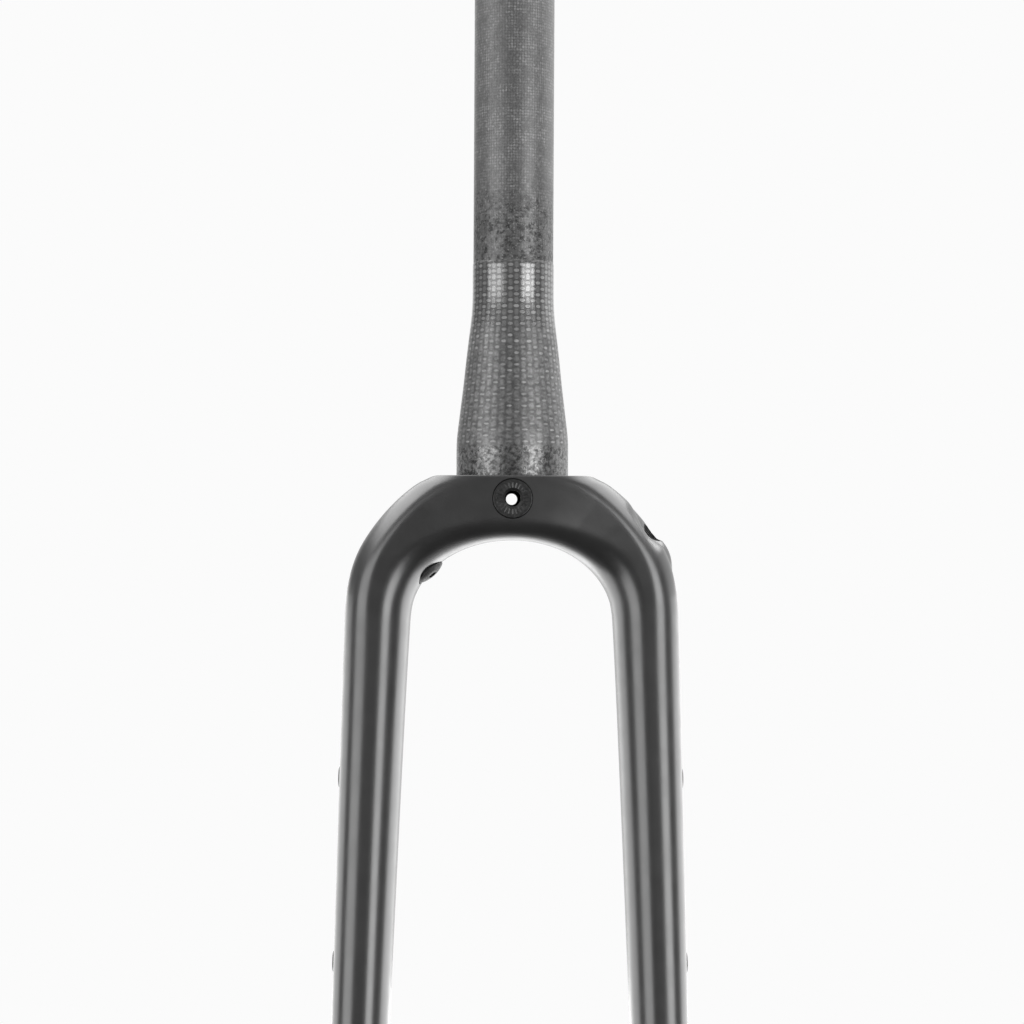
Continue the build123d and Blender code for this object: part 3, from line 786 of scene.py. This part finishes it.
# axle fittings: a plain flanged bush on the left, a tapped one on the right, with a ring scored in each face
axleFitting = dict(plainBore=6.05, tapBore=5.25, pitch=1.5, threadDepth=0.72, edge=0.5, lead=0.8, chamfer=0.5,
                   scoreFrom=1.8, scoreWidth=0.6, scoreSlope=0.1, scoreDepth=0.12, rowStep=0.15, threadFrom=0.7,
                   threadTo=0.5, segments=96)
d = short(axleFitting)
for hand, nodeName, bore in (("left", "left_axle_bush", d.plainBore), ("right", "right_axle_insert", d.tapBore)):
    face, flange, ring = bushLength + d.edge, ft.bushFlange, bore + d.scoreFrom
    low, slope, wide = face - d.scoreDepth, d.scoreSlope, d.scoreWidth
    line = [(bore + d.chamfer, 0), (ft.bushRadius, 0), (ft.bushRadius, bushStep), (flange, bushStep),
            (flange, bushLength), (flange - 0.3 * d.edge, bushLength + 0.7 * d.edge), (flange - d.edge, face),
            (ring + wide, face), (ring + wide - slope, low), (ring + slope, low), (ring, face),
            (bore + d.lead, face), (bore, face - d.lead)]
    line += runOf(line[-1], (bore, d.chamfer), d.rowStep) + [(bore, d.chamfer)]
    relief = threadRelief(bore, d.pitch, d.threadDepth, d.threadFrom, bushLength - d.threadTo)
    relief = relief if hand == "right" else None
    insertPieces[nodeName] = turnedPiece("axleFitting_" + hand, axlePlaces[hand], line, d.segments, relief)
print("axle fittings turned")

# serrated ferrule in the crown's front
ferruleShape = dict(bore=2.75, mouth=3.7, teeth=24, toothReach=5.6, toothWidth=0.62, toothDepth=0.13, toothRows=34,
                    headRadius=6.9, chamfer=0.35, shiftRight=0.05, shiftUp=0.04, segments=288, sharpAngle=30)


def toothRelief(r, h, angles):
    d = short(ferruleShape)
    if h[0] < -0.01 or r[0] < d.mouth - 0.01:
        return r, h
    pitch = 2 * pi / d.teeth
    away = np.abs((angles + pitch / 2) % pitch - pitch / 2) * r
    ends = 1 - smoothStep(d.toothReach - 0.12, d.toothReach + 0.05, r[0])
    return r, h - d.toothDepth * ends * np.clip(1 - away / (d.toothWidth / 2), 0, 1)


def ferruleLine(d):
    head, chamfer, length, floor = d.headRadius, d.chamfer, -ft.ferruleLength, -ft.ferruleHead
    throat = (d.bore, d.bore - d.mouth)
    line = [(d.bore, length), (ft.ferruleShank, length), (ft.ferruleShank, floor), (head, floor)]
    line += runOf(line[-1], (head, -chamfer), 0.5)
    line += [(head, -chamfer), (head - 0.06, 0.16 - chamfer), (head - chamfer + 0.1, -0.05)]
    line += [(r, 0) for r in np.linspace(head - chamfer, d.mouth, d.toothRows)] + [(d.mouth - 0.06, -0.03)]
    return line + runOf((d.mouth, 0), throat, 0.3) + [throat] + runOf(throat, line[0], 0.6)


d = short(ferruleShape)
ferrulePlace = Matrix.Translation((d.shiftRight, 0, d.shiftUp)) @ frontPlace
ferrule = turnedPiece("crownFerrule", ferrulePlace, ferruleLine(d), d.segments, toothRelief, d.sharpAngle)
print("ferrule turned")

# rubber sleeves: ribs on the inlet's face as steps inwards and down, a dome around the exit
inletSleeve = dict(start=0.6, mouth=3.0, soft=0.09, segments=72,
                   ribs=[(0.4, 0.6), (0.55, 1.2), (0.85, 0.9), (1.0, 1.5), (1.3, 1.2), (1.45, 1.8), (1.7, 1.6)])
exitSleeve = dict(rim=0.8, dome=1.8, mouth=3.0, chamfer=0.4, edge=0.25, rowStep=0.6, segments=72)
d = short(inletSleeve)
line = [(inlet.hoseRadius, -inlet.step), (inlet.radius, -inlet.step), (inlet.radius, -d.start)]
line += [(inlet.radius - inward, -down) for inward, down in d.ribs] + [(inlet.hoseRadius, -d.mouth)]
inletGrommet = turnedPiece("inletGrommet", inletPlace, softened(line, d.soft), d.segments)
d = short(exitSleeve)
line = domedLine(d, inlet.hoseRadius, ft.plugLength, ft.exitShank, ft.exitFlange)
exitGrommet = turnedPiece("exitGrommet", exitPlace, line, d.segments)

# wire plugs: a dome with a small blind hole
archPlugShape = dict(rim=0.75, dome=1.75, hole=1.45, holeDepth=1.4, edge=0.3, segments=96)
lowPlugShape = dict(rim=0.5, dome=1.4, hole=0.8, holeDepth=0.6, edge=0.2, segments=72)


def plugPiece(name, place, shape, stem, flange, lead=0.15, floorEdge=0.2):
    d = short(shape)
    edge, hole, length = d.edge, d.hole, -ft.plugLength
    rim = (flange, d.rim - edge)
    line = [(0, length), (stem, length), (stem, 0), (flange, 0)] + runOf((flange, 0), rim, 0.3) + [rim]
    line += [(flange - edge * (1 - cos(a)), d.rim - edge * (1 - sin(a))) for a in np.linspace(0.3, 1.3, 4)]
    line += domeArc(flange - edge, d.rim, hole + lead, d.dome, 18)
    floor = d.dome - d.holeDepth
    line += [(hole, d.dome - lead), (hole, floor + floorEdge), (hole - floorEdge, floor), (0, floor)]
    return turnedPiece(name, place, line, d.segments)


archPlug = plugPiece("archPlug", plugPlace, archPlugShape, ft.plugStem, ft.plugRadius)
lowPlug = plugPiece("lowPlug", lowPlugPlace, lowPlugShape, ft.lowPlugStem, ft.lowPlugRadius)
print("rubber pieces turned")

# steerer: tapered tube, the outer wrap a little thicker below its edge
steererShape = dict(
    top=300.0, radius=14.3, wall=3.0, seat=20.0, edge=0.3,
    taperStart=12.3, taperEnd=59.0, taperBlend=100.0, seatBlend=60.0,
    wrapEdge=75.4, wrapThick=0.2, wrapRamp=1.6, wrapRows=(0.6, 0.3, 0.1, -0.1, -0.3, -0.6), wrapFade=(14.0, 30.0),
    crossReach=28.0, crossSegments=64, rowStep=1.5, boreStep=4.0, segments=144, sharpAngle=30.0,
)


def steererLine(d):
    radius, top, edge, foot = d.radius, d.top, d.edge, -fs.topFall
    spigot, depth = ft.spigotRadius, -ft.spigotDepth
    hollow, bore = radius - d.wall, spigot - d.wall
    outside = filleted([(radius, top - edge), (radius, d.taperEnd), (d.seat, d.taperStart), (d.seat, foot)],
                       (d.taperBlend, d.seatBlend), d.rowStep)
    outside += [np.array([radius, d.wrapEdge + s]) for s in d.wrapRows]
    lifted = []
    for r, z in sorted(outside, key=lambda p: -p[1]):
        below = smoothStep(d.wrapEdge + d.wrapRamp / 2, d.wrapEdge - d.wrapRamp / 2, z)
        fade = 1 - smoothStep(*d.wrapFade, d.taperEnd - z)
        lifted.append((r + d.wrapThick * below * fade, z))
    inside = filleted([(bore, 0.0), (bore, d.taperStart), (hollow, d.taperEnd), (hollow, top - edge)],
                      (d.seatBlend, d.taperBlend), d.boreStep)
    seat = [(spigot, foot), (spigot, depth), (bore, depth)]
    return lifted + seat + inside + [(hollow + edge, top), (radius - edge, top)]


d = short(steererShape)
steerer = turnedPiece("steererTube", upright, steererLine(d), d.segments)
crossLine = [(r, z * d.crossReach) for r, z in ((0, -1), (ft.ferruleShank, -1), (ft.ferruleShank, 1), (0, 1))]
crossPlace = placeAt((0, 0, -ft.holeDrop), (0, -1, 0))
combine(steerer, turnedPiece("cutter", crossPlace, crossLine, d.crossSegments), "DIFFERENCE")
shadeSmooth(steerer.data, d.sharpAngle)
print("steerer turned")


# node trees are written as expressions: numbers stay on sockets, outputs are linked
class Graph:
    def __init__(self, owner):
        owner.use_nodes = True
        self.nodes, self.links = owner.node_tree.nodes, owner.node_tree.links

    def feed(self, socket, value):
        if isinstance(value, (int, float, tuple)):
            socket.default_value = value
        else:
            self.links.new(value, socket)

    def add(self, kind, inputs=(), **settings):
        node = self.nodes.new("ShaderNode" + kind)
        for name, value in settings.items():
            setattr(node, name, value)
        for key, value in inputs.items() if isinstance(inputs, dict) else enumerate(inputs):
            self.feed(node.inputs[key], value)
        return node

    def math(self, operation, *values):
        return self.add("Math", values, operation=operation).outputs[0]

    def times(self, first, second):
        return self.math("MULTIPLY", first, second)

    def plus(self, first, second):
        return self.math("ADD", first, second)

    def ranged(self, value, low, high, toLow, toHigh):
        return self.add("MapRange", (value, low, high, toLow, toHigh), interpolation_type="SMOOTHSTEP").outputs[0]

    def blend(self, share, first, second):
        return self.add("Mix", {0: share, 2: first, 3: second}).outputs[0]


class Finish(Graph):
    def __init__(self, name):
        self.material = bpy.data.materials.new(name)
        super().__init__(self.material)
        self.shader = self.nodes["Principled BSDF"]
        self.coords = self.add("TexCoord").outputs["Object"]
        self.x, self.y, self.z = self.add("SeparateXYZ", (self.coords,)).outputs

    def noise(self, scale, detail=2.0, roughness=0.5):
        settings = dict(Vector=self.coords, Scale=scale, Detail=detail, Roughness=roughness)
        return self.add("TexNoise", settings).outputs["Fac"]

    def scatter(self, first, second):
        pair = self.add("CombineXYZ", (first, second)).outputs[0]
        return self.add("TexWhiteNoise", dict(Vector=pair)).outputs["Value"]

    def bump(self, height, strength, distance):
        node = self.add("Bump", dict(Height=height, Strength=strength, Distance=distance))
        self.links.new(node.outputs[0], self.shader.inputs["Normal"])

    def set(self, shade, roughness, **values):
        self.feed(self.shader.inputs["Base Color"], self.add("CombineColor", (shade,) * 3).outputs[0])
        self.feed(self.shader.inputs["Roughness"], roughness)
        names = dict(metallic="Metallic", specular="Specular IOR Level", ior="IOR")
        for name, value in values.items():
            self.feed(self.shader.inputs[names[name]], value)
        return self.material


# the noises below are given as scale, detail and roughness
# satin black paint: faint mottling and a trace of orange peel
paintLook = dict(shade=(0.0085, 0.0115), shadeSpan=(0.3, 0.7), shadeNoise=(55.0, 3.0), rough=(0.29, 0.33),
                 roughNoise=(140.0, 3.0), bump=(0.12, 0.000004), bumpNoise=(1100.0, 2.0),
                 shader=dict(ior=1.7, specular=1.0))
# black rubber: dull, with a fine grain and pale dust in places
rubberLook = dict(shade=(0.008, 0.018), shadeSpan=(0.4, 0.75), shadeNoise=(300.0, 4.0, 0.6), rough=(0.42, 0.58),
                  roughNoise=(600.0,), bump=(0.3, 0.00003), bumpNoise=(2600.0, 3.0), shader=dict(specular=0.3))
# dark metals with a fine machining grain
ferruleLook = dict(shade=(0.05, 0.085), shadeSpan=(0.3, 0.75), shadeNoise=(900.0, 3.0, 0.6), rough=(0.36, 0.48),
                   roughNoise=(540.0,), bump=(0.2, 0.00001), bumpNoise=(1530.0, 2.0),
                   shader=dict(metallic=0.85, specular=0.6))
anodisedLook = dict(ferruleLook, shade=(0.012, 0.03), shadeNoise=(1200.0, 3.0, 0.6), rough=(0.44, 0.56),
                    roughNoise=(720.0,), bumpNoise=(2040.0, 2.0))


def grainedFinish(name, look):
    f, p = Finish(name), short(look)
    shade = f.ranged(f.noise(*p.shadeNoise), *p.shadeSpan, *p.shade)
    rough = f.ranged(f.noise(*p.roughNoise), 0.3, 0.7, *p.rough)
    f.bump(f.noise(*p.bumpNoise), *p.bump)
    return f.set(shade, rough, **p.shader)


# woven carbon of the steerer: matte fine cloth above, patchy resin with painted glints at its lower end, glossy
# plain weave with its weft dots painted pale as highlights below the wrap's edge that turns dull downwards, and a
# sanded band at the foot
carbonLook = dict(
    columns=44, rowHeight=0.00208, fineColumns=90, fineRow=0.00102,
    wrapEdge=0.0754, edgeBlend=0.0005, resinTop=0.1, resinBlend=0.012, bandTop=0.0101, bandBlend=0.0012,
    dullFrom=0.058, dullTo=0.046, dotsFrom=0.025, dotsTo=0.06, wobble=0.012,
    # the weft dots' pale colour is a painted highlight of their fibres
    ground=0.34, dot=0.33, seam=0.19, dullGround=0.24, dullSeam=0.17, glossRough=0.2, dullRough=0.4,
    fineDark=0.06, fineLight=0.19, fineRough=0.34, fineSheen=0.8, resinDark=0.03,
    weaveMetal=0.8, dotMetal=0.62, bandMetal=0.78, ior=1.85, reliefStrength=0.35, relief=0.00005, bandRelief=3.2,
    dotWide=(0.56, 0.44), dotTall=(0.2, 0.34), dotEdge=(0.3, 1.0), warpOval=(0.42, 0.66), warpEdge=(0.4, 1.1),
    fineOval=(0.5, 0.5), fineEdge=(0.3, 1.2),
)
carbonNoise = dict(   # each noise, the span of it that counts and the values that the span turns into
    cloud=((120.0, 3.0), (0.35, 0.6), (0.6, 1.0)),
    fine=((170.0, 4.0), (0.38, 0.58), (0.35, 1.0)),
    resin=((620.0, 5.0, 0.72), (0.44, 0.56), (0.25, 1.0)),
    patch=((650.0, 4.0, 0.6), (0.32, 0.68), (-0.3, 0.3)),
    speck=((1900.0, 3.0, 0.6), (0.32, 0.68), (0.55, 1.45)),
    # the glint noise paints bright specks into the resin's colour, as highlights
    paintedGlint=((1500.0, 2.0), (0.6, 0.72), (0.0, 0.25)),
    scuff=((760.0, 6.0, 0.7), (0.38, 0.62), (0.06, 0.27)),
    grain=((1000.0, 2.0), (0.3, 0.7), (-0.05, 0.05)),
    resinRough=((760.0, 4.0, 0.6), (0.36, 0.64), (0.2, 0.5)),
    bandRough=((620.0, 5.0, 0.65), (0.35, 0.65), (0.2, 0.42)),
    sheen=((430.0, 4.0, 0.6), (0.38, 0.62), (0.2, 0.75)),
)
plainNoise = dict(wobble=(300.0, 3.0), fine=(1800.0, 3.0, 0.6), resin=(1200.0, 3.0, 0.6), band=(700.0, 6.0, 0.72))


def wovenCarbonFinish():
    f, p = Finish("wovenCarbon"), short(carbonLook)
    times, plus, ranged, blend = f.times, f.plus, f.ranged, f.blend
    turn = f.math("DIVIDE", f.math("ARCTAN2", f.y, f.x), 2 * pi)

    def mottle(name):
        noise, span, values = carbonNoise[name]
        return ranged(f.noise(*noise), *span, *values)

    def below(height, edge, width):
        return ranged(height, edge - width, edge + width, 1.0, 0.0)

    def grid(columns, row):
        across, along = times(turn, float(columns)), f.math("DIVIDE", f.z, row)
        away = [f.math("ABSOLUTE", f.math("SUBTRACT", f.math("FRACT", way), 0.5)) for way in (across, along)]
        return f.math("FLOOR", across), f.math("FLOOR", along), *away

    def oval(fromSide, fromEnd, wide, tall):
        a, b = f.math("DIVIDE", fromSide, wide), f.math("DIVIDE", fromEnd, tall)
        return plus(times(a, a), times(b, b))

    # plain weave: pale dots where the weft comes up, painted highlights that stand in for the sheen of the weft's
    # fibres, longer warp yarns between them
    dull = ranged(f.z, p.dullTo, p.dullFrom, 1.0, 0.0)
    column, line, fromSide, fromEnd = grid(p.columns, p.rowHeight)
    odd = f.math("FLOORED_MODULO", plus(column, line), 2.0)
    dotTall = ranged(f.z, p.dotsFrom, p.dotsTo, *p.dotTall)
    weft = ranged(oval(fromSide, fromEnd, blend(dull, *p.dotWide), dotTall), *p.dotEdge, 1.0, 0.0)
    warp = ranged(oval(fromSide, fromEnd, *p.warpOval), *p.warpEdge, 1.0, 0.0)
    yarn = blend(odd, warp, weft)
    weftGlints = times(times(odd, weft), ranged(f.scatter(column, line), 0.0, 1.0, blend(dull, 0.5, 0.22), 1.0))
    weftGlints = times(weftGlints, mottle("cloud"))

    fineColumn, fineLine, fineSide, fineEnd = grid(p.fineColumns, p.fineRow)
    fine = ranged(oval(fineSide, fineEnd, *p.fineOval), *p.fineEdge, 1.0, 0.0)
    fine = times(fine, ranged(f.scatter(fineColumn, fineLine), 0.0, 1.0, 0.3, 1.0))
    fine = times(fine, mottle("fine"))

    # zones with uneven edges
    wobble = times(f.math("SUBTRACT", f.noise(*plainNoise["wobble"]), 0.5), p.wobble)
    gloss = below(plus(f.z, times(wobble, 0.14)), p.wrapEdge, p.edgeBlend)
    resin = times(below(plus(f.z, wobble), p.resinTop, p.resinBlend), mottle("resin"))
    band = below(plus(f.z, times(wobble, 0.25)), p.bandTop, p.bandBlend)

    weaveShade = blend(yarn, blend(dull, p.seam, p.dullSeam), blend(dull, p.ground, p.dullGround))
    # weft dots painted pale, as highlights of their fibres
    weaveShade = blend(weftGlints, weaveShade, p.dot)
    patchy = times(mottle("patch"), blend(dull, 0.3, 1.0))
    weaveShade = times(weaveShade, plus(1.0, patchy))
    fineShade = times(blend(fine, p.fineDark, p.fineLight), mottle("speck"))
    # dark resin with bright specks painted in as glints of light
    resinAndGlintShade = plus(p.resinDark, mottle("paintedGlint"))
    shade = blend(gloss, blend(resin, fineShade, resinAndGlintShade), weaveShade)
    shade = blend(band, shade, mottle("scuff"))

    grain = mottle("grain")
    rough = blend(resin, plus(grain, p.fineRough), mottle("resinRough"))
    rough = blend(gloss, rough, plus(times(grain, 0.4), blend(dull, p.glossRough, p.dullRough)))
    rough = blend(band, rough, mottle("bandRough"))
    # less metal under the painted weft highlights, so that they show as a pale diffuse colour
    metal = times(gloss, f.math("SUBTRACT", p.weaveMetal, times(weftGlints, p.dotMetal)))
    metal = blend(band, metal, p.bandMetal)

    fineHeight = plus(times(fine, 0.4), times(f.noise(*plainNoise["fine"]), 0.6))
    fineHeight = plus(fineHeight, times(resin, f.noise(*plainNoise["resin"])))
    relief = blend(gloss, fineHeight, times(yarn, 0.6))
    relief = blend(band, relief, times(f.noise(*plainNoise["band"]), p.bandRelief))
    f.bump(relief, p.reliefStrength, p.relief)
    sheen = blend(resin, p.fineSheen, mottle("sheen"))
    sheen = blend(f.math("MAXIMUM", gloss, band), sheen, p.fineSheen)
    return f.set(shade, rough, metallic=metal, ior=p.ior, specular=sheen)


slotFinish = {
    "satin_paint": grainedFinish("satinPaint", paintLook),
    "woven_carbon": wovenCarbonFinish(),
    "ferrule_metal": grainedFinish("ferruleMetal", ferruleLook),
    "black_rubber": grainedFinish("blackRubber", rubberLook),
    "black_anodised": grainedFinish("blackAnodised", anodisedLook),
}
print("finishes mixed")

slotPieces = {
    "satin_paint": {"crown_and_legs": body},
    "woven_carbon": {"steerer_tube": steerer},
    "ferrule_metal": {"crown_ferrule": ferrule},
    "black_rubber": {"hose_inlet_grommet": inletGrommet, "hose_exit_grommet": exitGrommet,
                     "arch_port_plug": archPlug, "lower_port_plug": lowPlug},
    "black_anodised": insertPieces,
}


def lay(piece, slot):
    piece.data.materials.clear()
    piece.data.materials.append(slotFinish[slot])


for slot, pieces in slotPieces.items():
    for nodeName, piece in pieces.items():
        lay(piece, slot)
        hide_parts(nodeName)
        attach(piece, "root")
for entry in frame["record"]["materials"]:
    for nodeName in entry.get("nodes", []):
        lay(frame["nodes"][nodeName], entry["slot"])
print("finishes laid on")

# studio: a softbox to each side in front, low and high lights to the sides and behind, one light overhead,
# a white backdrop and a pale floor that fades out
studio = dict(
    backdrop=0.965,          # as the camera sees it
    backdropTurn=25.0, backdropFrom=0.3, backdropFull=0.75,  # how it mirrors, turned to the right
    ambient=0.55,            # what the walls add to dull surfaces
    frontLow=0.06, frontHigh=0.3, frontSpan=0.6,             # how the room in front mirrors
    floorRadius=0.34, floorColour=0.86, floorBelow=0.0002, floorFade=(0.3, 0.98), floorPoints=96,
)
lampPlan = dict(   # turn from the front, distance, lift, width, height, radiance, tilted to the object, sheen only
    leftStrip=(-52.0, 1.6, -0.4, 1.3, 1.4, 1.85, False, False),
    rightStrip=(43.0, 1.6, -0.4, 0.98, 1.4, 3.0, False, False),
    leftLow=(-131.0, 0.55, -0.305, 0.7, 0.55, 1.6, False, True),
    rightLow=(131.0, 0.55, -0.305, 0.7, 0.55, 1.55, False, True),
    backLow=(180.0, 1.4, -0.95, 1.2, 0.9, 2.1, False, True),
    leftHigh=(-110.0, 1.1, 1.16, 2.7, 1.16, 2.7, True, True),
    rightHigh=(110.0, 1.07, 1.19, 2.7, 1.1, 2.4, True, False),
    overhead=(180.0, 0.3, 1.5, 1.4, 1.4, 1.0, True, False),
)


def softbox(name, turn, distance, lift, width, height, radiance, tilted, sheenOnly):
    light = bpy.data.lights.new(name, "AREA")
    light.shape = "RECTANGLE"
    light.size, light.size_y = width, height
    light.energy = radiance * pi * width * height
    lamp = linked(name, light)
    spot = Vector((distance * sin(radians(turn)), -distance * cos(radians(turn)), lift))
    aim = -spot if tilted else Vector((-spot.x, -spot.y, 0))
    lamp.matrix_world = placeAt(spot, aim, "-Z")
    lamp.visible_camera = False
    lamp.visible_diffuse = not sheenOnly


def studioWorld(s):
    world = bpy.data.worlds.new("studio")
    scene.world = world
    g = Graph(world)
    g.nodes.clear()
    path = g.add("LightPath").outputs
    around = g.add("TexCoord").outputs["Generated"]
    height = g.add("SeparateXYZ", (around,)).outputs["Z"]
    front = g.ranged(height, -s.frontSpan, s.frontSpan, s.frontLow, s.frontHigh)
    turn = radians(s.backdropTurn)
    facing = g.add("VectorMath", (around, (sin(turn), cos(turn), 0)), operation="DOT_PRODUCT")
    behind = g.ranged(facing.outputs["Value"], s.backdropFrom, s.backdropFull, 0.0, 1.0)
    mirrored = g.math("MAXIMUM", path["Is Glossy Ray"], path["Is Transmission Ray"])
    seen = g.blend(mirrored, s.ambient, g.blend(behind, front, s.backdrop))
    back = g.add("Background", (g.blend(path["Is Camera Ray"], seen, s.backdrop),))
    g.add("OutputWorld", (back.outputs[0],))


def paleFloor(s):
    radius, count = s.floorRadius, s.floorPoints
    turns = [2 * pi * i / count for i in range(count)]
    low = cadBox[0].z - s.floorBelow
    mesh = newMesh("floor", [(radius * cos(a), radius * sin(a), low) for a in turns], [list(range(count))])
    floor = linked("floor", mesh)
    material = bpy.data.materials.new("paleFloor")
    g = Graph(material)
    g.nodes.clear()
    flat = g.add("VectorMath", (g.add("TexCoord").outputs["Object"], (1, 1, 0)), operation="MULTIPLY")
    away = g.add("VectorMath", (flat.outputs[0],), operation="LENGTH").outputs["Value"]
    fade = g.ranged(away, *(radius * share for share in s.floorFade), 0.0, 1.0)
    matte = g.add("BsdfDiffuse", ((s.floorColour,) * 3 + (1,),))
    clear = g.add("BsdfTransparent")
    g.add("OutputMaterial", (g.add("MixShader", (fade, matte.outputs[0], clear.outputs[0])).outputs[0],))
    mesh.materials.append(material)
    floor.visible_glossy = False


for lampName, plan in lampPlan.items():
    softbox(lampName, *plan)
studioWorld(short(studio))
paleFloor(short(studio))
print("studio lit")
